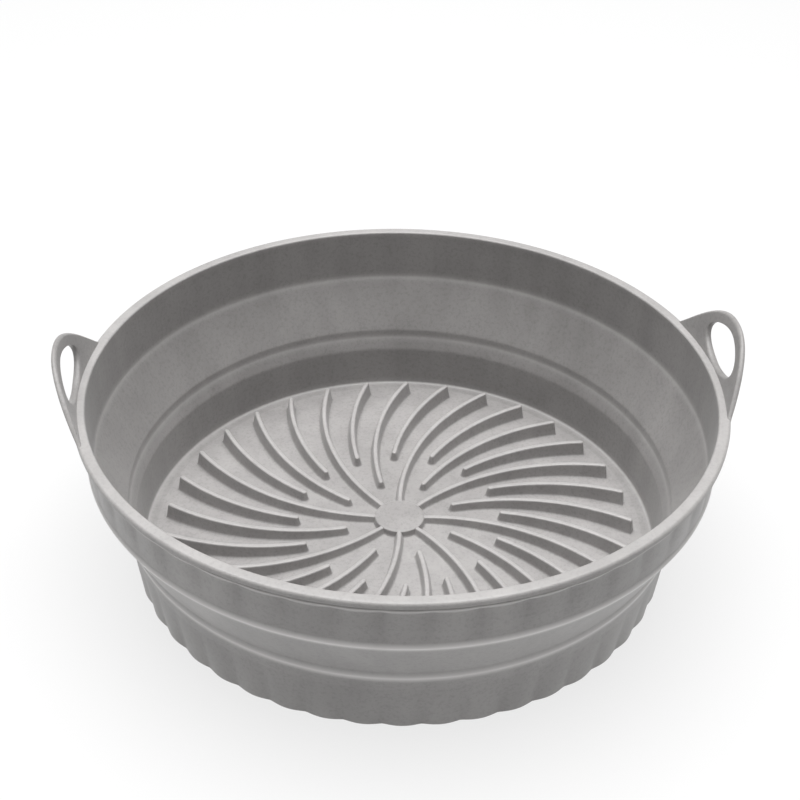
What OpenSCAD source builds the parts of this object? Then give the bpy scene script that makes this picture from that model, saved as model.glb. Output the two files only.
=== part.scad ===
// Collapsible silicone basket for an air fryer: a ribbed floor, a fluted lower wall, a cone of
// thinner wall that turns inside out between two folds, a fluted upper wall, a lip and two
// finger-loop ears. Z = 0 is the table and the ears lie on the X axis.

/* [Overall] */
// Outer diameter of the lip
rim_d = 205; // [200:1:215]
// Height of the lip's top above the table
rim_h = 61.5; // [59:0.5:65]
// Outer diameter of the foot
foot_d = 176.2; // [174:0.2:178]

/* [Folds] */
// Height of the lower fold, where the cone meets the lower wall
lower_fold_h = 24.3; // [23.6:0.1:25]
// Inner radius of the cone at the lower fold
lower_fold_r = 89; // [88.5:0.1:89.5]
// Height of the upper fold, where the cone meets the upper wall
upper_fold_h = 43; // [42:0.1:44]
// Inner radius of the cone at the upper fold
upper_fold_r = 97.9; // [97.5:0.1:98.1]

/* [Walls] */
// Thickness of the lower wall
lower_wall_t = 2.2; // [1.8:0.1:2.6]
// Thickness of the cone between the folds
cone_t = 1.3; // [1:0.1:1.6]
// Thickness of the upper wall at its lower edge
upper_wall_t = 1.65; // [1.4:0.05:1.8]
// Number of flutes round each fluted wall
flute_count = 48; // [24:1:60]
// Radius of the groove between two flutes
flute_r = 4; // [3:0.5:6]
// Depth of the grooves at the foot
lower_flute_depth = 0.75; // [0.3:0.05:0.9]
// Depth of the grooves under the lip
upper_flute_depth = 0.45; // [0.2:0.05:0.6]
// Depth to which the grooves of both walls fade out towards the folds
faded_flute_depth = 0.13; // [0.1:0.01:0.2]

/* [Lip] */
// Width of the lip
lip_w = 3.8; // [3.6:0.1:4]
// Height of the lip
lip_h = 2.2; // [1.8:0.1:2.6]
// Height of the bead under the lip
bead_h = 3; // [2:0.1:4]
// Step from the lip's outer edge in to the bead
bead_step = 1.1; // [0.8:0.1:1.4]

/* [Floor] */
// Thickness of the floor
floor_t = 1.5; // [1.3:0.1:1.8]
// Rise of the floor from its edge up to the disc in the middle
floor_arch = 1.4; // [0.4:0.1:2]
// Height of the foot under the floor's edge
foot_h = 0.4; // [0.3:0.1:0.8]
// Width of the foot inside the wall
foot_w = 3.5; // [2:0.5:6]
// Diameter of the disc that the long ribs run into
hub_d = 17; // [14:0.2:22]
// Height of that disc above the floor
hub_rise = 2.2; // [1.6:0.1:3]

/* [Ribs] */
// Width of a rib
rib_w = 2.6; // [2:0.1:3]
// Radius of the arc that each rib follows
rib_arc_r = 79; // [70:1:100]
// Radius of the circle on which the ribs end
rib_reach = 78.6; // [75:0.2:81]
// Height of the ribs above the floor at their outer ends
rib_rise = 5.3; // [4:0.1:7]
// Distance from the centre to the inner ends of the medium ribs
medium_rib_start = 19.5; // [16:0.5:24]
// Distance from the centre to the inner ends of the short ribs
short_rib_start = 35; // [28:0.5:45]

/* [Ears] */
// Height of an ear above the lip
ear_rise = 16.9; // [15:0.1:20]
// Half of an ear's width where it meets the lip
ear_half_w = 31; // [28:0.5:34]
// Thickness of an ear
ear_t = 1.8; // [1.6:0.1:2.4]
// Distance from the lip's outer edge in to an ear's inner face
ear_inset = 1.1; // [0.6:0.1:1.2]
// Angle at which the ears flare out from the vertical
ear_flare = 13; // [5:1:20]
// Width of the finger hole
finger_w = 26; // [22:0.5:28]
// Height of the finger hole
finger_h = 12.4; // [9:0.2:12.6]
// Height of the finger hole's lower edge above the lip
finger_lift = 0.6; // [0.5:0.1:1]
// Gap at the line where an ear bends
bend_gap = 0.3; // [0.2:0.05:0.5]

/* [Hidden] */
$fn = 180;
rim_r = rim_d / 2;
foot_r = foot_d / 2;
hub_r = hub_d / 2;
rib_count = 32;
// Rounded inner end of a medium or short rib, a little slimmer than the rib
nose_d = rib_w * 0.9;
// The ribs grow taller outwards; the surface their tops lie on runs a little past their ends
dish_r = rib_reach + rib_w;
rib_growth = (rib_rise - hub_rise) / (rib_reach - hub_r);
// The first groove and the first long rib, as turns from the ear on the +X side
flute_turn = -1;
rib_turn = -6;

// Lower wall: from the foot up to the shoulder that carries the lower fold
wall_draft = 6;
shoulder_h = lower_fold_h - 7.5;
floor_r = foot_r - lower_wall_t;
floor_edge_h = foot_h + floor_t;
hub_base_h = floor_edge_h + floor_arch;
shoulder_in_r = lower_fold_r - 2;
shoulder_out_r = foot_r + shoulder_h * tan(wall_draft);
// The shoulder's outer bead: its height as a share of the shoulder, its size and how far it stands out
bead_share = 0.72;
fold_bead_h = 2;
fold_bead_out = 0.4;
// The shoulder's inner step: its height as a share of the shoulder, and how far it stands in
step_share = 0.63;
step_in = 0.25;

// Upper wall: from the upper fold up to the bead
upper_wall_h = upper_fold_h + 2;
bead_bottom = rim_h - lip_h - bead_h;
lip_bottom = rim_h - lip_h;
lip_in_r = rim_r - lip_w;
bead_r = rim_r - bead_step;
upper_in_r = upper_fold_r + 0.15;
upper_out_r = upper_fold_r + upper_wall_t + 0.15;
wall_top_in_r = lip_in_r - 0.1;
wall_top_out_r = bead_r - 0.8;
edge_round = 0.9;

// Ears
ear_bend_h = rim_h + bend_gap;
root_drop = 3;
root_taper = 0.3;
// Thickness of an ear measured level, across its flare
ear_skin = ear_t / cos(ear_flare);
ear_steps = 24;

silicone = [0.56, 0.55, 0.55];
silicone_light = [0.66, 0.65, 0.65];

// Angle swept along a rib's arc from the disc's edge out to the distance r from the centre
function rib_sweep(r) =
    let (d = norm([hub_r, rib_arc_r]))
    acos((rib_arc_r * rib_arc_r + d * d - r * r) / (2 * rib_arc_r * d)) - atan(hub_r / rib_arc_r);

// Height of the floor's upper face at the distance r from the centre, outside the disc
function floor_h(r) = floor_edge_h + floor_arch * (floor_r - r) / (floor_r - hub_r);

// Height of an ear's outline at the share s of its half width, from the middle (0) to an end (1)
function ear_outline(s) = ear_rise * pow(1 - pow(abs(s), 2.2), 1.5);

// Radius of an ear's inner face at the height z
function ear_in_r(z) = rim_r - ear_inset + (z - rim_h) * tan(ear_flare);

// Solid between the floor and the dished surface that the tops of the disc and the ribs lie on
module dish() {
    rotate_extrude()
        polygon([
            [0, hub_base_h], [hub_r, hub_base_h], [dish_r, floor_h(dish_r)],
            [dish_r, floor_h(dish_r) + rib_rise + rib_growth * rib_w],
            [hub_r, hub_base_h + hub_rise], [0, hub_base_h + hub_rise]
        ]);
}

// One curved rib whose inner end is at the distance start from the centre
module rib(start) {
    inner = rib_sweep(start);
    outer = rib_sweep(rib_reach);
    intersection() {
        dish();
        translate([hub_r, -rib_arc_r, foot_h])
            union() {
                rotate([0, 0, 90 - outer])
                    rotate_extrude(angle = outer - inner)
                        translate([rib_arc_r - rib_w / 2, 0])
                            square([rib_w, hub_base_h + rib_rise]);
                if (start > hub_r)
                    rotate([0, 0, 90 - inner])
                        translate([rib_arc_r, 0, 0])
                            cylinder(d = nose_d, h = hub_base_h + rib_rise);
            }
    }
}

// Places a rib in the k-th of the 32 equal steps round the centre
module rib_place(k) {
    color(silicone_light)
        rotate([0, 0, rib_turn + k * 360 / rib_count])
            children();
}

// Grooves between the flutes, along the line from (r0, z0) to (r1, z1) and at its two depths
module grooves(r0, z0, depth0, r1, z1, depth1) {
    tilt = atan2(r1 - depth1 - r0 + depth0, z1 - z0);
    reach = norm([r1 - depth1 - r0 + depth0, z1 - z0]);
    for (i = [0:flute_count - 1])
        rotate([0, 0, flute_turn + i * 360 / flute_count])
            translate([r0 - depth0 + flute_r, 0, z0])
                rotate([0, tilt, 0])
                    translate([0, 0, -2])
                        cylinder(r = flute_r, h = reach + 4);
}

module floor_panel() {
    color(silicone_light)
        rotate_extrude()
            polygon([
                [0, hub_base_h - floor_t], [hub_r, hub_base_h - floor_t], [floor_r, foot_h],
                [floor_r, floor_edge_h], [hub_r, hub_base_h], [0, hub_base_h]
            ]);
}

module foot_ring() {
    foot_in_r = floor_r - foot_w;
    color(silicone)
        rotate_extrude()
            polygon([
                [foot_in_r, 0], [floor_r, 0], [floor_r, foot_h],
                [foot_in_r, floor_h(foot_in_r) - floor_t]
            ]);
}

module centre_hub() {
    color(silicone_light)
        translate([0, 0, hub_base_h])
            cylinder(r = hub_r, h = hub_rise);
}

module long_rib(i) {
    rib_place(4 * (i - 1))
        difference() {
            rib(hub_r);
            cylinder(r = hub_r, h = rim_h);
        }
}

module medium_rib(i) {
    rib_place(4 * (i - 1) + 2)
        rib(medium_rib_start);
}

module short_rib(i) {
    rib_place(2 * (i - 1) + 1)
        rib(short_rib_start);
}

module lower_wall() {
    color(silicone)
        difference() {
            rotate_extrude()
                polygon([
                    [floor_r, 0], [foot_r, 0], [shoulder_out_r, shoulder_h],
                    [shoulder_in_r, shoulder_h], [floor_r, floor_edge_h]
                ]);
            grooves(foot_r, 0, lower_flute_depth, shoulder_out_r, shoulder_h, faded_flute_depth);
        }
}

// Shoulder and groove that the cone folds about at its lower edge
module lower_fold() {
    cone_out_r = lower_fold_r + cone_t;
    fold_bead_z = shoulder_h + bead_share * (lower_fold_h - shoulder_h);
    color(silicone)
        rotate_extrude()
            polygon([
                [shoulder_in_r, shoulder_h],
                [shoulder_out_r, shoulder_h],
                [cone_out_r + 0.1, fold_bead_z - fold_bead_h],
                [cone_out_r + fold_bead_out, fold_bead_z],
                [cone_out_r, lower_fold_h],
                [lower_fold_r, lower_fold_h],
                [lower_fold_r - step_in, shoulder_h + step_share * (lower_fold_h - shoulder_h)]
            ]);
}

module cone_wall() {
    color(silicone)
        rotate_extrude()
            polygon([
                [lower_fold_r, lower_fold_h], [lower_fold_r + cone_t, lower_fold_h],
                [upper_fold_r + cone_t, upper_fold_h], [upper_fold_r, upper_fold_h]
            ]);
}

// Rounded corner that the cone folds about at its upper edge
module upper_fold() {
    color(silicone)
        rotate_extrude()
            polygon([
                [upper_fold_r, upper_fold_h],
                [upper_fold_r + cone_t, upper_fold_h],
                [upper_out_r - 0.15, upper_fold_h + 0.6],
                [upper_out_r, upper_wall_h],
                [upper_in_r, upper_wall_h]
            ]);
}

module upper_wall() {
    color(silicone)
        difference() {
            rotate_extrude()
                polygon([
                    [upper_in_r, upper_wall_h], [upper_out_r, upper_wall_h],
                    [wall_top_out_r, bead_bottom], [wall_top_in_r, bead_bottom]
                ]);
            grooves(
                upper_out_r, upper_wall_h, faded_flute_depth,
                wall_top_out_r, bead_bottom, upper_flute_depth
            );
        }
}

module under_lip_bead() {
    color(silicone)
        rotate_extrude()
            polygon([
                [wall_top_in_r, bead_bottom], [wall_top_out_r, bead_bottom],
                [bead_r, bead_bottom + edge_round], [bead_r, lip_bottom - edge_round / 2],
                [bead_r - edge_round / 2, lip_bottom], [lip_in_r, lip_bottom]
            ]);
}

module lip() {
    color(silicone_light)
        rotate_extrude()
            union() {
                translate([lip_in_r, lip_bottom])
                    square([lip_w - edge_round, lip_h - edge_round]);
                translate([lip_in_r + edge_round, lip_bottom])
                    square([lip_w - 2 * edge_round, lip_h]);
                translate([lip_in_r, lip_bottom])
                    square([lip_w, lip_h - edge_round]);
                for (r = [lip_in_r + edge_round, rim_r - edge_round])
                    translate([r, rim_h - edge_round])
                        circle(r = edge_round, $fn = 32);
            }
}

// Flared shell that an ear is cut from, between the heights z0 and z1
module ear_shell(z0, z1) {
    rotate_extrude()
        polygon([
            [ear_in_r(z0), z0], [ear_in_r(z0) + ear_skin, z0],
            [ear_in_r(z1) + ear_skin, z1], [ear_in_r(z1), z1]
        ]);
}

// Prism along X whose section is the outline child, drawn with its axes along Y and Z
module toward_x() {
    rotate([90, 0, 90])
        linear_extrude(height = rim_r + ear_rise)
            children();
}

// Lower edge of an ear, held on the side of the lip
module ear_root() {
    color(silicone)
        intersection() {
            rotate_extrude()
                polygon([
                    [rim_r, rim_h - root_drop],
                    [ear_in_r(rim_h) + ear_skin - root_taper, rim_h - root_drop],
                    [ear_in_r(rim_h) + ear_skin, rim_h],
                    [rim_r, rim_h]
                ]);
            toward_x()
                polygon([
                    for (i = [-ear_steps:ear_steps])
                        let (s = i / ear_steps)
                        [ear_half_w * s, rim_h - root_drop * (1 + cos(180 * s)) / 2]
                ]);
        }
}

// Free part of an ear, above the line where it bends
module ear_loop() {
    color(silicone)
        difference() {
            intersection() {
                ear_shell(ear_bend_h, rim_h + ear_rise + 1);
                toward_x()
                    translate([0, rim_h])
                        polygon([
                            for (i = [-ear_steps:ear_steps])
                                let (s = i / ear_steps)
                                [ear_half_w * s, ear_outline(s)]
                        ]);
            }
            toward_x()
                translate([0, rim_h + finger_lift + finger_h / 2])
                    polygon([
                        for (i = [0:2 * ear_steps - 1])
                            let (a = i * 180 / ear_steps)
                            [finger_w / 2 * cos(a), finger_h / 2 * sin(a)]
                    ]);
        }
}

module left_ear_root() {
    rotate([0, 0, 180])
        ear_root();
}

module right_ear_root() {
    ear_root();
}

module left_ear_loop() {
    rotate([0, 0, 180])
        ear_loop();
}

module right_ear_loop() {
    ear_loop();
}

floor_panel();
foot_ring();
centre_hub();
for (i = [1:8]) long_rib(i);
for (i = [1:8]) medium_rib(i);
for (i = [1:16]) short_rib(i);
lower_wall();
lower_fold();
cone_wall();
upper_fold();
upper_wall();
under_lip_bead();
lip();
left_ear_root();
right_ear_root();
left_ear_loop();
right_ear_loop();
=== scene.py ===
"""Looks of the collapsible silicone basket: one soft grey moulding, drawn round its CAD frame.

Everything is in metres in the part's own frame: Z = 0 is the table, the ears lie on the X axis.
"""

import math

import bmesh
import bpy
import numpy as np
from mathutils import Matrix, Vector


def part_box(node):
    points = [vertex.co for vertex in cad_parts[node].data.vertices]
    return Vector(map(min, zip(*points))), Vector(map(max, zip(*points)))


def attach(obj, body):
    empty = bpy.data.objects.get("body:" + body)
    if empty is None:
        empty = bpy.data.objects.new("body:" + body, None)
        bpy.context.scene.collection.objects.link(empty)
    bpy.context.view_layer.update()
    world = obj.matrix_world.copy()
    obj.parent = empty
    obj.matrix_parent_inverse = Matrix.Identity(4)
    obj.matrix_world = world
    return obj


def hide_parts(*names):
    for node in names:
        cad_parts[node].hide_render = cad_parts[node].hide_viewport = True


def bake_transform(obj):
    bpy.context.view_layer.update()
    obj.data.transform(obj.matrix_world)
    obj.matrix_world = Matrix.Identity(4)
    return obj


MM = 0.001

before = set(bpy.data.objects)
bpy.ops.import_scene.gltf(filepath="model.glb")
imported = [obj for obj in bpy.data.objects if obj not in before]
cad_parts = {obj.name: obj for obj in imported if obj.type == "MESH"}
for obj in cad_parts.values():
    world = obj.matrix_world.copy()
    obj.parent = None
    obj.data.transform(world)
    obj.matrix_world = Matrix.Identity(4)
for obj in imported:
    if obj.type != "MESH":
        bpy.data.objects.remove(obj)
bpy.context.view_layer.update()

# ---------------------------------------------------------------------------------------------
# Sizes, read from the CAD nodes wherever a node has them
# ---------------------------------------------------------------------------------------------

# Lip and the bead under it
RIM_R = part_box("lip")[1].x
RIM_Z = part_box("lip")[1].z
LIP_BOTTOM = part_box("lip")[0].z
LIP_W = 3.8 * MM
BEAD_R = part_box("under_lip_bead")[1].x
BEAD_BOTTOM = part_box("under_lip_bead")[0].z

# Cone between the two folds
UPPER_FOLD_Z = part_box("cone_wall")[1].z
LOWER_FOLD_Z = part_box("cone_wall")[0].z
CONE_T = 1.3 * MM
CONE_INSET = 8.9 * MM
UPPER_IN_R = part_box("cone_wall")[1].x - CONE_T
LOWER_IN_R = UPPER_IN_R - CONE_INSET

# Fluted wall above the cone
UPPER_WALL_Z = UPPER_FOLD_Z + 2 * MM
UPPER_OUT_R = UPPER_IN_R + 1.8 * MM
WALL_TOP_OUT_R = BEAD_R - 0.8 * MM
WALL_TOP_IN_R = RIM_R - LIP_W - 0.1 * MM

# Floor, foot, and fluted wall below the cone, which widens upwards by WALL_DRAFT
FLOOR_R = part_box("floor_panel")[1].x
FLOOR_T = 1.5 * MM
FLOOR_EDGE_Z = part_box("floor_panel")[0].z + FLOOR_T
WALL_T = 2.2 * MM
WALL_DRAFT = math.radians(6)
FOOT_R = FLOOR_R + WALL_T
SHOULDER_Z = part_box("lower_fold")[0].z
SHOULDER_IN_R = LOWER_IN_R - 2 * MM
SHOULDER_OUT_R = FOOT_R + SHOULDER_Z * math.tan(WALL_DRAFT)

# Raised disc in the middle of the floor
HUB_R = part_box("centre_hub")[1].x
HUB_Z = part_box("centre_hub")[1].z
HUB_BASE_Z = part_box("centre_hub")[0].z
HUB_RISE = HUB_Z - HUB_BASE_Z

# The floor meets the foot under the wall at this distance from the centre
FLOOR_SEAM_R = FLOOR_R - 3.5 * MM
# The rigid pieces meet the folding wall at these two heights, on straight stretches of wall
LOWER_SEAM_Z = 12 * MM
UPPER_SEAM_Z = 50 * MM

# Flutes, which are deepest at the foot and under the lip and fade towards the folds
FLUTES = 48
FLUTE_TURN = math.radians(-1)
FLUTE_SOFTNESS = 0.008
STEPS_PER_FLUTE = 14
LOWER_FLUTE_DEPTH = 0.9 * MM
UPPER_FLUTE_DEPTH = 0.7 * MM
FADED_FLUTE_DEPTH = 0.2 * MM

# Ribs, which rise outwards from the disc's height; every fourth one starts at the disc itself
RIBS = 32
RIB_TURN = math.radians(-6)
RIB_ARC_R = 79 * MM
RIB_REACH = 78.6 * MM
RIB_RISE = 5.3 * MM
RIB_TOP_HALF_W = 0.85 * MM
RIB_ROOT_HALF_W = 1.15 * MM
RIB_TAPER = 0.05
RIB_EDGE = 0.6 * MM
RIB_TAIL = 1.0 * MM
RIB_TAIL_ROUND = 0.45 * MM
RIB_TAIL_LEAN = 0.12
MEDIUM_START = 19.5 * MM
SHORT_START = 35 * MM
# A long rib runs this far into the disc, and its top lies this much lower over its first stretch
HUB_OVERLAP = 1.2 * MM
HUB_TUCK = 0.08 * MM
HUB_TUCK_LENGTH = 3 * MM

# Ears: plates that flare outwards and are thickest in the middle of their root
EAR_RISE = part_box("right_ear_loop")[1].z - RIM_Z
EAR_HALF_W = 31 * MM
EAR_OUTSET = 0.75 * MM
EAR_END_INSET = 0.2 * MM
EAR_ROOT_T = 2.3 * MM
EAR_TIP_T = 1.6 * MM
EAR_END_T = 0.5 * MM
EAR_FLARE = math.radians(13)
EAR_EDGE = 0.9 * MM
# Below the lip's top the root sinks into the lip's side
EAR_END_DROP = 1.1 * MM
EAR_ROOT_DROP = 3.2 * MM
EAR_ROOT_INSET = 1.5 * MM
EAR_AROUND = 288
EAR_ACROSS = 12
EAR_ARC_STEPS = 5
FINGER_W = 26 * MM
FINGER_H = 12.4 * MM
FINGER_LIFT = 0.6 * MM

# Painted highlights, pale colour painted on the crests, edges and tops that catch the light: each
# strength runs from 0 to 1, and a REACH is how far it spreads from its crest
FLUTE_HIGHLIGHT = 0.11
LIP_HIGHLIGHT = 0.16
INNER_CREASE_HIGHLIGHT = 0.25
CREASE_REACH = 1.25 * MM
BEAD_HIGHLIGHT = 0.5
BEAD_REACH = 0.9 * MM
EDGE_HIGHLIGHT = 0.4
EDGE_REACH = 0.8 * MM
RIB_HIGHLIGHT = 0.17
RIB_HIGHLIGHT_DEPTH = 0.6 * MM

# ---------------------------------------------------------------------------------------------
# Camera: the photograph's height, lens and slight roll, aimed at the middle of the lip
# ---------------------------------------------------------------------------------------------

CAMERA_TURN = math.radians(-6)
CAMERA_RISE = math.radians(34.08)
CAMERA_ROLL = math.radians(1.156)
CAMERA_DISTANCE = 4.194 * RIM_R
CAMERA_LENS_MM = 61.05
CAMERA_SENSOR_MM = 36
CAMERA_SHIFT_X = -0.0029
CAMERA_SHIFT_Y = -0.026


def make_camera():
    """The fitted camera, which stands CAMERA_TURN round and CAMERA_RISE above the lip's middle."""
    back = Vector((
        math.sin(CAMERA_TURN) * math.cos(CAMERA_RISE),
        -math.cos(CAMERA_TURN) * math.cos(CAMERA_RISE),
        math.sin(CAMERA_RISE),
    ))
    data = bpy.data.cameras.new("camera")
    data.lens = CAMERA_LENS_MM
    data.sensor_width = CAMERA_SENSOR_MM
    data.shift_x = CAMERA_SHIFT_X
    data.shift_y = CAMERA_SHIFT_Y
    data.clip_start = 10 * MM
    cam = bpy.data.objects.new("camera", data)
    bpy.context.scene.collection.objects.link(cam)
    cam.location = Vector((0, 0, RIM_Z)) + back * CAMERA_DISTANCE
    aim = (-back).to_track_quat("-Z", "Y").to_matrix().to_4x4()
    roll = Matrix.Rotation(CAMERA_ROLL, 4, "Z")
    cam.matrix_world = Matrix.Translation(cam.location) @ aim @ roll
    bpy.context.scene.camera = cam


make_camera()

# ---------------------------------------------------------------------------------------------
# Materials
# ---------------------------------------------------------------------------------------------

# Pale colour of the painted highlights on crests, edges and tops
PAINTED_HIGHLIGHT = (0.62, 0.604, 0.598)


def grey(value):
    """Opaque grey for a colour ramp."""
    return (value, value, value, 1)


def silicone(name, dark, light, roughness, grain):
    """Satin silicone: soft mottling between two greys, flow streaks, fine grain and painted highlights
    on crests.
    """
    mat = bpy.data.materials.new(name)
    mat.use_nodes = True
    nodes, links = mat.node_tree.nodes, mat.node_tree.links
    shader = nodes["Principled BSDF"]
    shader.inputs["IOR"].default_value = 1.41
    shader.inputs["Subsurface Weight"].default_value = 0.08
    shader.inputs["Subsurface Radius"].default_value = (1.0, 0.9, 0.85)
    shader.inputs["Subsurface Scale"].default_value = 0.0015
    shader.inputs["Sheen Weight"].default_value = 0.12
    shader.inputs["Sheen Roughness"].default_value = 0.5
    place = nodes.new("ShaderNodeTexCoord").outputs["Object"]

    def noise(scale, detail, rough=0.5, height_scale=1):
        """Noise fixed to the piece; a height_scale below 1 draws it out along the height."""
        n = nodes.new("ShaderNodeTexNoise")
        n.inputs["Scale"].default_value = scale
        n.inputs["Detail"].default_value = detail
        n.inputs["Roughness"].default_value = rough
        if height_scale == 1:
            links.new(place, n.inputs["Vector"])
        else:
            drawn = nodes.new("ShaderNodeMapping")
            drawn.inputs["Scale"].default_value = (1, 1, height_scale)
            links.new(place, drawn.inputs["Vector"])
            links.new(drawn.outputs["Vector"], n.inputs["Vector"])
        return n.outputs["Fac"]

    def ramp(source, *stops):
        """Colour ramp between two (position, colour) stops."""
        r = nodes.new("ShaderNodeValToRGB")
        for element, (position, color) in zip(r.color_ramp.elements, stops):
            element.position = position
            element.color = color
        links.new(source, r.inputs["Fac"])
        return r.outputs["Color"]

    def multiply(a, b):
        mix = nodes.new("ShaderNodeMix")
        mix.data_type = "RGBA"
        mix.blend_type = "MULTIPLY"
        mix.inputs["Factor"].default_value = 1
        links.new(a, mix.inputs["A"])
        links.new(b, mix.inputs["B"])
        return mix.outputs["Result"]

    def bump(strength, distance, height):
        b = nodes.new("ShaderNodeBump")
        b.inputs["Strength"].default_value = strength
        b.inputs["Distance"].default_value = distance
        links.new(height, b.inputs["Height"])
        return b

    # Mottling, darker specks, and streaks along the height like the flow marks of a moulding
    clouds = ramp(noise(22, 3), (0.25, (*dark, 1)), (0.75, (*light, 1)))
    specks = ramp(noise(800, 3, rough=0.75), (0.32, grey(0.84)), (0.52, grey(1)))
    flow = ramp(noise(110, 3, height_scale=0.16), (0.36, grey(0.90)), (0.62, grey(1)))

    # Painted highlights: crests and edges that catch the light are painted paler than the rest
    crest = nodes.new("ShaderNodeAttribute")
    crest.attribute_name = "crest"
    highlight_mix = nodes.new("ShaderNodeMix")
    highlight_mix.data_type = "RGBA"
    highlight_mix.inputs["B"].default_value = (*PAINTED_HIGHLIGHT, 1)
    links.new(crest.outputs["Fac"], highlight_mix.inputs["Factor"])
    links.new(multiply(multiply(clouds, flow), specks), highlight_mix.inputs["A"])
    links.new(highlight_mix.outputs["Result"], shader.inputs["Base Color"])

    # The sheen varies a little from place to place
    gloss = nodes.new("ShaderNodeMapRange")
    gloss.inputs["To Min"].default_value = roughness - 0.06
    gloss.inputs["To Max"].default_value = roughness + 0.07
    links.new(noise(60, 4), gloss.inputs["Value"])
    links.new(gloss.outputs["Result"], shader.inputs["Roughness"])

    # Fine grain on top of soft unevenness
    fine = bump(grain, 0.0001, noise(2600, 3))
    soft = bump(0.18, 0.0008, noise(45, 2))
    links.new(fine.outputs["Normal"], soft.inputs["Normal"])
    links.new(soft.outputs["Normal"], shader.inputs["Normal"])
    return mat


WALL_MAT = silicone("silicone_wall", (0.240, 0.232, 0.228), (0.308, 0.298, 0.293), 0.40, 0.3)
# Copy of the same silicone for the floor, disc and ribs, its greys painted lighter for the light from
# above; also a little glossier and less grainy
PAINTED_LIT_FLOOR_MAT = silicone("silicone_floor", (0.272, 0.262, 0.258), (0.319, 0.308, 0.304), 0.38, 0.25)

# ---------------------------------------------------------------------------------------------
# Mesh helpers
# ---------------------------------------------------------------------------------------------


def make_piece(name, verts, faces, material):
    """Smooth closed mesh with sharp edges only where it turns by more than 50 degrees."""
    mesh = bpy.data.meshes.new(name)
    mesh.from_pydata([tuple(v) for v in verts], [], faces)
    shape = bmesh.new()
    shape.from_mesh(mesh)
    bmesh.ops.remove_doubles(shape, verts=shape.verts, dist=0.001 * MM)
    bmesh.ops.recalc_face_normals(shape, faces=shape.faces)
    shape.to_mesh(mesh)
    shape.free()
    mesh.materials.append(material)
    mesh.polygons.foreach_set("use_smooth", [True] * len(mesh.polygons))
    mesh.set_sharp_from_angle(angle=math.radians(50))
    mesh.update()
    obj = bpy.data.objects.new(name, mesh)
    bpy.context.scene.collection.objects.link(obj)
    return obj


def loft_faces(rows, count, closed):
    """Faces between neighbouring loops of count points; closed joins the last loop to the first."""
    faces = []
    for i in range(rows if closed else rows - 1):
        a, b = i * count, (i + 1) % rows * count
        for k in range(count):
            n = (k + 1) % count
            faces.append((a + k, b + k, b + n, a + n))
    return faces


def rounded_corner(before, here, after, rounding):
    """Arc of (r, z, flute depth) points in place of the corner at here; the depth runs evenly."""
    to_a = (before - here)[:2] / np.linalg.norm((before - here)[:2])
    to_b = (after - here)[:2] / np.linalg.norm((after - here)[:2])
    half = math.acos(np.clip(to_a @ to_b, -1, 1)) / 2
    back = rounding / math.tan(half)
    share_a = back / np.linalg.norm((before - here)[:2])
    share_b = back / np.linalg.norm((after - here)[:2])
    start, end = here + (before - here) * share_a, here + (after - here) * share_b
    count = max(3, int(math.degrees(math.pi - 2 * half) / 9) + 1)
    centre = here[:2] + (to_a + to_b) / np.linalg.norm(to_a + to_b) * rounding / math.sin(half)
    first = math.atan2(*(start[:2] - centre)[::-1])
    sweep = math.atan2(*(end[:2] - centre)[::-1]) - first
    sweep = (sweep + math.pi) % (2 * math.pi) - math.pi
    arc = []
    for k in range(count + 1):
        t = k / count
        angle = first + sweep * t
        arc.append(np.array([
            centre[0] + rounding * math.cos(angle),
            centre[1] + rounding * math.sin(angle),
            start[2] + (end[2] - start[2]) * t,
        ]))
    return arc


def outline(corners, step):
    """Points along a polygon whose corners (r, z, rounding, flute depth) are rounded with arcs.

    Straight stretches are cut into pieces no longer than step, and the depth runs evenly.
    """
    pts = [np.array(c, float) for c in corners]
    groups = []
    for i, (r, z, rounding, depth) in enumerate(pts):
        here = np.array([r, z, depth])
        if rounding == 0 or i in (0, len(pts) - 1):
            groups.append([here])
        else:
            before, after = pts[i - 1][[0, 1, 3]], pts[i + 1][[0, 1, 3]]
            groups.append(rounded_corner(before, here, after, rounding))
    line = []
    for i, group in enumerate(groups):
        line += group
        if i + 1 < len(groups):
            gap = groups[i + 1][0] - group[-1]
            count = max(1, math.ceil(np.linalg.norm(gap[:2]) / step))
            line += [group[-1] + gap * k / count for k in range(1, count)]
    return np.array(line)


def flute_profile(phi):
    """0 on the crest of a flute, nearly 1 in the narrow valley between two."""
    u = FLUTES * (phi - FLUTE_TURN) / 2
    return 1 - np.sqrt(np.sin(u) ** 2 + FLUTE_SOFTNESS) / math.sqrt(1 + FLUTE_SOFTNESS)


def revolve(name, line, material, closed):
    """Turns a line of (r, z, flute depth) points about Z; an open line starts and ends on the axis."""
    around = FLUTES * STEPS_PER_FLUTE
    phi = np.arange(around) * 2 * math.pi / around
    dip = flute_profile(phi)
    verts, rows = [], []
    for r, z, depth in line:
        if r < 1e-7:
            rows.append([len(verts)] * around)
            verts.append((0, 0, z))
            continue
        radius = r - depth * dip
        rows.append(list(range(len(verts), len(verts) + around)))
        verts += zip(radius * np.cos(phi), radius * np.sin(phi), [z] * around)
    faces = []
    last = len(rows) if closed else len(rows) - 1
    for i in range(last):
        lower, upper = rows[i], rows[(i + 1) % len(rows)]
        for k in range(around):
            n = (k + 1) % around
            ring = [lower[k], lower[n], upper[n], upper[k]]
            faces.append(tuple(dict.fromkeys(ring)))
    return make_piece(name, verts, faces, material)


# ---------------------------------------------------------------------------------------------
# Slopes of the floor and the walls
# ---------------------------------------------------------------------------------------------


def between(x, x0, y0, x1, y1):
    """Height at x of the straight line through (x0, y0) and (x1, y1)."""
    return y0 + (y1 - y0) * (x - x0) / (x1 - x0)


def floor_z(r):
    return between(r, FLOOR_R, FLOOR_EDGE_Z, HUB_R, HUB_BASE_Z)


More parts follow.
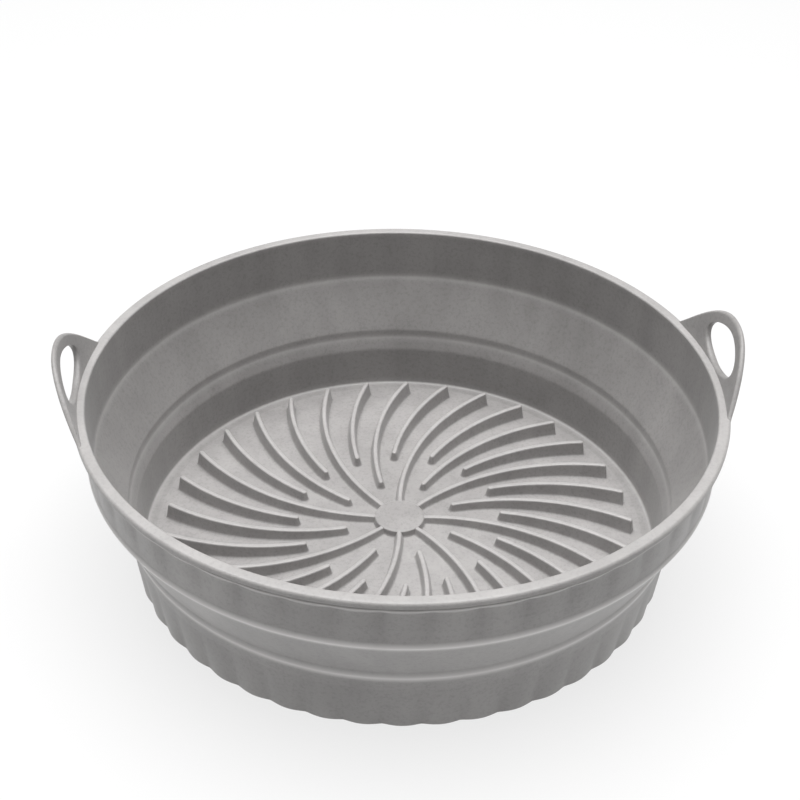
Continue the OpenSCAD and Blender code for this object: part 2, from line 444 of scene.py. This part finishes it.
def lower_in_r(z):
    return between(z, FLOOR_EDGE_Z, FLOOR_R, SHOULDER_Z, SHOULDER_IN_R)


def lower_out_r(z):
    return between(z, 0, FOOT_R, SHOULDER_Z, SHOULDER_OUT_R)


def upper_in_r(z):
    return between(z, UPPER_WALL_Z, UPPER_IN_R, BEAD_BOTTOM, WALL_TOP_IN_R)


def upper_out_r(z):
    return between(z, UPPER_WALL_Z, UPPER_OUT_R, BEAD_BOTTOM, WALL_TOP_OUT_R)


def flute_depth_low(z):
    return between(z, 0, LOWER_FLUTE_DEPTH, SHOULDER_Z, FADED_FLUTE_DEPTH)


def flute_depth_high(z):
    return between(z, UPPER_WALL_Z, FADED_FLUTE_DEPTH, BEAD_BOTTOM, UPPER_FLUTE_DEPTH)


def rib_height(r):
    return between(r, HUB_R, HUB_RISE, RIB_REACH, RIB_RISE)


# ---------------------------------------------------------------------------------------------
# Pale crests: painted highlights where crests and edges catch the light
# ---------------------------------------------------------------------------------------------


def mark_painted_highlights(piece, share):
    """Stores how much painted highlight each point gets, from 0 to 1, for the material."""
    mark = piece.data.attributes.new("crest", "FLOAT", "POINT")
    for i, vert in enumerate(piece.data.vertices):
        mark.data[i].value = share(vert.co.xy.length, vert.co.z, math.atan2(vert.co.y, vert.co.x))


def nearness(r, z, spot, reach):
    """1 at the (r, z) spot, falling smoothly to 0 within about two reaches of it."""
    return math.exp(-((math.hypot(r - spot[0], z - spot[1]) / reach) ** 2))


def flute_share(r, z, phi):
    """Share of painted highlight on the outsides of the two fluted walls, strongest on the flutes'
    crests.
    """
    if z < SHOULDER_Z:
        outside = r > (lower_in_r(z) + lower_out_r(z)) / 2
        strength = flute_depth_low(z) / LOWER_FLUTE_DEPTH
    else:
        outside = r > (upper_in_r(z) + upper_out_r(z)) / 2
        strength = flute_depth_high(z) / UPPER_FLUTE_DEPTH
    if not outside or SHOULDER_Z <= z < UPPER_WALL_Z or z > BEAD_BOTTOM:
        return 0
    return FLUTE_HIGHLIGHT * strength * (1 - flute_profile(phi))


# ---------------------------------------------------------------------------------------------
# The moulding
# ---------------------------------------------------------------------------------------------


def floor_panel():
    """Thin floor that rises from its seam with the foot to the disc."""
    corners = [
        (0, HUB_BASE_Z, 0, 0),
        (HUB_R, HUB_BASE_Z, 2 * MM, 0),
        (FLOOR_SEAM_R, floor_z(FLOOR_SEAM_R), 0, 0),
        (FLOOR_SEAM_R, floor_z(FLOOR_SEAM_R) - FLOOR_T, 0, 0),
        (HUB_R, HUB_BASE_Z - FLOOR_T, 2 * MM, 0),
        (0, HUB_BASE_Z - FLOOR_T, 0, 0),
    ]
    piece = revolve("floor", outline(corners, 4 * MM), PAINTED_LIT_FLOOR_MAT, False)
    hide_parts("floor_panel")
    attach(piece, "base")


def lower_wall():
    """Foot, edge of the floor and fluted wall up to the lower seam, with a painted highlight along the
    floor's edge.
    """
    seam = LOWER_SEAM_Z
    corners = [
        (FLOOR_SEAM_R, floor_z(FLOOR_SEAM_R), 0, 0),
        (FLOOR_R, FLOOR_EDGE_Z, 0.9 * MM, 0),
        (lower_in_r(seam), seam, 0, 0),
        (lower_out_r(seam), seam, 0, flute_depth_low(seam)),
        (FOOT_R, 0, 0.7 * MM, LOWER_FLUTE_DEPTH),
        (FLOOR_SEAM_R + 0.5 * MM, 0, 0.2 * MM, 0),
        (FLOOR_SEAM_R, floor_z(FLOOR_SEAM_R) - FLOOR_T, 0, 0),
    ]
    piece = revolve("lower_wall_and_foot", outline(corners, 2 * MM), WALL_MAT, True)

    # Painted highlight along the floor's edge, plus that of the flutes
    def near_edge(r, z, phi):
        edge_share = nearness(r, z, (FLOOR_R, FLOOR_EDGE_Z), EDGE_REACH)
        return EDGE_HIGHLIGHT * edge_share + flute_share(r, z, phi)

    mark_painted_highlights(piece, near_edge)
    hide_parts("foot_ring", "lower_wall")
    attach(piece, "base")


def folding_wall():
    """Shoulder, cone and both folds between the seams, with painted highlights along the folds' raised
    crests.
    """
    low, high = LOWER_SEAM_Z, UPPER_SEAM_Z
    upper_crest = (UPPER_OUT_R + 0.35 * MM, UPPER_FOLD_Z + 0.3 * MM)
    lower_crest = (LOWER_IN_R + CONE_T + 0.65 * MM, LOWER_FOLD_Z - 1.6 * MM)
    upper_corner = (UPPER_IN_R, UPPER_FOLD_Z)
    lower_corner = (LOWER_IN_R - 0.25 * MM, SHOULDER_Z + 4.7 * MM)
    corners = [
        (lower_in_r(low), low, 0, 0),
        (SHOULDER_IN_R, SHOULDER_Z, 5 * MM, 0),
        (*lower_corner, 3 * MM, 0),
        (LOWER_IN_R, LOWER_FOLD_Z, 3 * MM, 0),
        (*upper_corner, 3 * MM, 0),
        (upper_in_r(high), high, 0, 0),
        (upper_out_r(high), high, 0, flute_depth_high(high)),
        (UPPER_OUT_R - 0.05 * MM, upper_crest[1] + 1.8 * MM, 1.6 * MM, FADED_FLUTE_DEPTH),
        (*upper_crest, 0.6 * MM, 0),
        (LOWER_IN_R + CONE_T + 0.25 * MM, lower_crest[1] + 1.7 * MM, 2.4 * MM, 0),
        (*lower_crest, 0.6 * MM, 0),
        (SHOULDER_OUT_R, SHOULDER_Z, 4 * MM, FADED_FLUTE_DEPTH),
        (lower_out_r(low), low, 0, flute_depth_low(low)),
    ]
    piece = revolve("folding_wall", outline(corners, 1 * MM), WALL_MAT, True)
    # Painted highlights on the folds' two raised crests and, weaker, on their two inner corners
    marks = (
        (upper_crest, 1),
        (lower_crest, 1),
        (upper_corner, INNER_CREASE_HIGHLIGHT),
        (lower_corner, INNER_CREASE_HIGHLIGHT),
    )

    def near_crest(r, z, phi):
        shares = [weight * nearness(r, z, spot, CREASE_REACH) for spot, weight in marks]
        return max(flute_share(r, z, phi), *shares)

    mark_painted_highlights(piece, near_crest)
    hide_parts("lower_fold", "cone_wall", "upper_fold")
    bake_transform(piece)


def rim_wall():
    """Fluted wall above the upper seam, the bead under the lip and the lip, with a painted highlight
    growing to the lip's top.
    """
    seam = UPPER_SEAM_Z
    lip_in_r = RIM_R - LIP_W
    bead_crest = (BEAD_R + 0.1 * MM, BEAD_BOTTOM + 1.7 * MM)
    corners = [
        (upper_in_r(seam), seam, 0, 0),
        (lip_in_r, LIP_BOTTOM, 0, 0),
        (lip_in_r, RIM_Z, 0.7 * MM, 0),
        (RIM_R, RIM_Z, 1.0 * MM, 0),
        (RIM_R - 0.1 * MM, LIP_BOTTOM + 0.2 * MM, 0.5 * MM, 0),
        (BEAD_R - 1.1 * MM, LIP_BOTTOM, 0.3 * MM, 0),
        (*bead_crest, 0.6 * MM, 0),
        (WALL_TOP_OUT_R - 0.1 * MM, BEAD_BOTTOM, 0.4 * MM, UPPER_FLUTE_DEPTH),
        (upper_out_r(seam), seam, 0, flute_depth_high(seam)),
    ]
    piece = revolve("rim_and_upper_wall", outline(corners, 1.5 * MM), WALL_MAT, True)

    # Painted highlight growing to the lip's top and on the bead's crest, plus that of the flutes
    def near_lip(r, z, phi):
        lip_share = np.clip((z - LIP_BOTTOM) / (RIM_Z - LIP_BOTTOM), 0, 1)
        bead_share = nearness(r, z, bead_crest, BEAD_REACH)
        return LIP_HIGHLIGHT * lip_share + BEAD_HIGHLIGHT * bead_share + flute_share(r, z, phi)

    mark_painted_highlights(piece, near_lip)
    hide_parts("upper_wall", "under_lip_bead", "lip")
    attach(piece, "upper_ring")


def hub():
    """Raised disc, which is sunk a little into the floor."""
    corners = [
        (0, HUB_Z, 0, 0),
        (HUB_R - 0.1 * MM, HUB_Z, 0.5 * MM, 0),
        (HUB_R + 0.1 * MM, HUB_BASE_Z + 0.4 * MM, 0.3 * MM, 0),
        (HUB_R + 0.6 * MM, HUB_BASE_Z - 0.3 * MM, 0, 0),
        (0, HUB_BASE_Z - 0.3 * MM, 0, 0),
    ]
    piece = revolve("centre_disc", outline(corners, 4 * MM), PAINTED_LIT_FLOOR_MAT, False)
    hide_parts("centre_hub")
    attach(piece, "base")


# ---------------------------------------------------------------------------------------------
# Ribs
# ---------------------------------------------------------------------------------------------


def rib_sweep(r):
    """Angle along a rib's arc from the disc's edge out to the distance r from the centre."""
    d = math.hypot(HUB_R, RIB_ARC_R)
    reach = (RIB_ARC_R**2 + d**2 - r**2) / (2 * RIB_ARC_R * d)
    return math.acos(reach) - math.atan(HUB_R / RIB_ARC_R)


def rib_half_section(height):
    """Right half of a rib's section: (distance from its middle, height), from the top downwards."""
    top, edge = RIB_TOP_HALF_W, RIB_EDGE
    low = RIB_ROOT_HALF_W + RIB_TAPER * height
    pts = [(0, height), (0.12 * MM, height)]
    for k in range(7):
        a = math.radians(90 - 14 * k)
        pts.append((top - edge + edge * math.cos(a), height - edge + edge * math.sin(a)))
    pts += [
        (top + (low - top) * 0.5, height * 0.5),
        (low, 0.5 * MM),
        (low + 0.12 * MM, 0.16 * MM),
        (low + 0.45 * MM, 0),
        (low + 0.45 * MM, -0.3 * MM),
    ]
    return pts


def rib_row(t, turn=math.pi / 2, cut=0, drop=0, lean=0):
    """One loop of points across a rib at the angle t along its arc.

    A turn below 90 degrees swings both halves back round the rib's inner end. The loop is made
    narrower by cut on each side and lower by drop, and lean puts its foot ahead of its top.
    """
    x = HUB_R + RIB_ARC_R * math.sin(t)
    y = -RIB_ARC_R * (1 - math.cos(t))
    r = math.hypot(x, y)
    height = rib_height(r)
    foot = np.array([x, y, floor_z(max(r, HUB_R))])
    along = np.array([math.cos(t), -math.sin(t), 0])
    side = np.array([math.sin(t), math.cos(t), 0])
    half = rib_half_section(height - drop)
    loop = []
    for sign, points in ((1, half), (-1, half[:0:-1])):
        for n, z in points:
            n = max(n - cut, 0)
            ahead = lean * (height - max(z, 0)) - n * math.cos(turn)
            loop.append(foot + side * sign * n * math.sin(turn) + along * ahead + np.array([0, 0, z]))
    return loop


def rib(name, node, index, start):
    """One curved rib: rounded along its top and at its inner end, and nearly square at its outer end."""
    joins_hub = start <= HUB_R
    inner = -HUB_OVERLAP / RIB_ARC_R if joins_hub else rib_sweep(start)
    length = (rib_sweep(RIB_REACH) - inner) * RIB_ARC_R
    rows = []
    if not joins_hub:
        rows += [rib_row(inner, turn=math.radians(15 * k)) for k in range(6)]
    for s in np.linspace(0, length - RIB_TAIL, 36):
        drop = HUB_TUCK if joins_hub and s < HUB_TUCK_LENGTH else 0
        rows.append(rib_row(inner + s / RIB_ARC_R, drop=drop))
    for k in range(1, 7):
        left = 1 - math.sin(math.radians(15 * k))
        bend = RIB_TAIL_ROUND * (1 - math.sqrt(max(0.0, 1 - (1 - left) ** 2)))
        s = length - RIB_TAIL * left
        rows.append(rib_row(inner + s / RIB_ARC_R, cut=bend, drop=bend, lean=RIB_TAIL_LEAN))

    spin = RIB_TURN + index * 2 * math.pi / RIBS
    cos, sin = math.cos(spin), math.sin(spin)
    turned = np.array(rows).reshape(-1, 3) @ np.array([[cos, sin, 0], [-sin, cos, 0], [0, 0, 1]])
    count = len(rows[0])
    faces = loft_faces(len(rows), count, closed=False)
    faces.append(tuple(range((len(rows) - 1) * count, len(rows) * count)))
    if joins_hub:
        faces.append(tuple(range(count - 1, -1, -1)))
    piece = make_piece(name, turned, faces, PAINTED_LIT_FLOOR_MAT)

    # Painted highlight along the rib's top, fading out a little below it
    def near_top(r, z, phi):
        return RIB_HIGHLIGHT * np.clip(1 - (floor_z(r) + rib_height(r) - z) / RIB_HIGHLIGHT_DEPTH, 0, 1)

    mark_painted_highlights(piece, near_top)
    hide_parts(node)
    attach(piece, "base")


def ribs():
    """Ribs round the disc in the order long, short, medium, short."""
    for i in range(RIBS // 4):
        rib(f"rib_long_{i + 1}", f"long_rib_{i + 1}", 4 * i, 0)
        rib(f"rib_medium_{i + 1}", f"medium_rib_{i + 1}", 4 * i + 2, MEDIUM_START)
    for i in range(RIBS // 2):
        rib(f"rib_short_{i + 1}", f"short_rib_{i + 1}", 2 * i + 1, SHORT_START)


# ---------------------------------------------------------------------------------------------
# Ears
# ---------------------------------------------------------------------------------------------


def ear_rim_point(a):
    """Point (y, up) of an ear's outer edge at the angle a round the ear; up is from the lip's top."""
    share = math.cos(a)
    if math.sin(a) >= 0:
        up = EAR_RISE * (1 - abs(share) ** 2.2) ** 1.5 - EAR_END_DROP * abs(share) ** 8
    else:
        belly = max(0.0, 1 - abs(share) ** 2) ** 0.75
        up = -EAR_END_DROP - (EAR_ROOT_DROP - EAR_END_DROP) * belly
    return np.array([EAR_HALF_W * share, up])


def ear_section(inset):
    """Loop of (share, depth) points round an ear's section, with both of its edges rounded.

    The share runs from 0 at the finger hole to 1 at the outer edge, and the depth from 0 on the
    face towards the basket to 2 on the face away from it.
    """
    loop = [(inset + (1 - 2 * inset) * k / EAR_ACROSS, 0.0) for k in range(EAR_ACROSS + 1)]
    turns = [math.radians(90 * k / EAR_ARC_STEPS) for k in range(1, EAR_ARC_STEPS)]
    loop += [(1 - inset + inset * math.sin(b), 1 - math.cos(b)) for b in turns]
    loop.append((1.0, 1.0))
    loop += [(q, 2 - depth) for q, depth in reversed(loop[:-1])]
    loop += [(inset - inset * math.sin(b), 1 + math.cos(b)) for b in turns]
    loop.append((0.0, 1.0))
    loop += [(inset - inset * math.sin(b), 1 - math.cos(b)) for b in reversed(turns)]
    return loop


def ear_point(y, up, depth, side):
    """Place of the point at y along the lip, up above its top and depth through the ear's plate."""
    swell = max(0.0, 1 - abs(y / EAR_HALF_W) ** 2.5)
    outset = (EAR_OUTSET + EAR_END_INSET) * swell**0.8 - EAR_END_INSET
    outer_r = RIM_R + outset + max(up, 0) * math.tan(EAR_FLARE)
    full = EAR_ROOT_T + (EAR_TIP_T - EAR_ROOT_T) * np.clip(up / EAR_RISE, 0, 1)
    thick = EAR_END_T + (full - EAR_END_T) * swell**0.5
    radius = outer_r - thick * (2 - depth) / 2
    if up < 0:
        sink = min(-up / EAR_ROOT_DROP, 1)
        radius -= (radius - RIM_R + EAR_ROOT_INSET) * sink**2
    phi = y / RIM_R
    return (side * radius * math.cos(phi), side * radius * math.sin(phi), RIM_Z + up)


def ear(name, side):
    """A flared plate with a finger hole that grows out of the lip; side is 1 on +X and -1 on -X."""
    hole_up = FINGER_LIFT + FINGER_H / 2
    verts = []
    for i in range(EAR_AROUND):
        a = 2 * math.pi * i / EAR_AROUND
        rim_point = ear_rim_point(a)
        hole_point = np.array([
            FINGER_W / 2 * math.cos(a), hole_up + FINGER_H / 2 * math.sin(a)
        ])
        width = np.linalg.norm(rim_point - hole_point)
        section = ear_section(min(EAR_EDGE / width, 0.3))
        for q, depth in section:
            y, up = hole_point + (rim_point - hole_point) * q
            verts.append(ear_point(y, up, depth, side))
    faces = loft_faces(EAR_AROUND, len(section), closed=True)
    piece = make_piece(name, verts, faces, WALL_MAT)
    word = "right" if side > 0 else "left"
    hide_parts(f"{word}_ear_root", f"{word}_ear_loop")
    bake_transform(piece)


floor_panel()
lower_wall()
folding_wall()
rim_wall()
hub()
ribs()
ear("ear_right", 1)
ear("ear_left", -1)

# ---------------------------------------------------------------------------------------------
# Floor, backdrop and light
# ---------------------------------------------------------------------------------------------

STAGE_HALF_W = 4
BACKDROP_R = 3.9
BACKDROP_H = 3
BACKDROP_SIDES = 64
WORLD_STRENGTH = 0.22
LAMP_PLACE = Vector((0.0, 0.12, 1.2))
LAMP_AIM = Vector((0, 0, 0.03))
LAMP_SIZE = 1.25
LAMP_WATTS = 30


def stage_paint():
    """Dull grey that glows, so that it comes out nearly white and still takes a faint shadow."""
    paint = bpy.data.materials.new("floor")
    paint.use_nodes = True
    shader = paint.node_tree.nodes["Principled BSDF"]
    shader.inputs["Base Color"].default_value = (0.13, 0.13, 0.13, 1)
    shader.inputs["Emission Color"].default_value = (1, 1, 1, 1)
    shader.inputs["Emission Strength"].default_value = 0.78
    shader.inputs["Roughness"].default_value = 0.9
    shader.inputs["Specular IOR Level"].default_value = 0.1
    return paint


def stage_object(name, verts, faces, paint):
    mesh = bpy.data.meshes.new(name)
    mesh.from_pydata(verts, [], faces)
    mesh.materials.append(paint)
    obj = bpy.data.objects.new(name, mesh)
    bpy.context.scene.collection.objects.link(obj)
    return obj


def stage_floor(paint):
    """The table that the basket stands on."""
    w = STAGE_HALF_W
    corners = [(-w, -w, 0), (w, -w, 0), (w, w, 0), (-w, w, 0)]
    floor = stage_object("floor", corners, [(0, 1, 2, 3)], paint)


def backdrop_wall(paint):
    """A far round wall that hides the horizon; it neither lights nor shades the basket."""
    count = BACKDROP_SIDES
    angles = [2 * math.pi * k / count for k in range(count)]
    verts = [
        (BACKDROP_R * math.cos(a), BACKDROP_R * math.sin(a), z)
        for z in (0, BACKDROP_H)
        for a in angles
    ]
    faces = [(k, (k + 1) % count, count + (k + 1) % count, count + k) for k in range(count)]
    backdrop = stage_object("backdrop", verts, faces, paint)
    backdrop.visible_diffuse = False
    backdrop.visible_glossy = False
    backdrop.visible_shadow = False


def soft_world():
    """Even white light from all round."""
    world = bpy.data.worlds.new("world")
    world.use_nodes = True
    background = world.node_tree.nodes["Background"]
    background.inputs["Color"].default_value = (1, 1, 1, 1)
    background.inputs["Strength"].default_value = WORLD_STRENGTH
    bpy.context.scene.world = world


def top_lamp():
    """A wide round softbox above the basket."""
    data = bpy.data.lights.new("top", "AREA")
    data.shape = "DISK"
    data.size = LAMP_SIZE
    data.energy = LAMP_WATTS
    lamp = bpy.data.objects.new("top", data)
    bpy.context.scene.collection.objects.link(lamp)
    lamp.location = LAMP_PLACE
    lamp.rotation_mode = "QUATERNION"
    lamp.rotation_quaternion = (LAMP_AIM - LAMP_PLACE).to_track_quat("-Z", "Y")


stage_material = stage_paint()
stage_floor(stage_material)
backdrop_wall(stage_material)
soft_world()
top_lamp()
bpy.context.scene.view_settings.view_transform = "Standard"
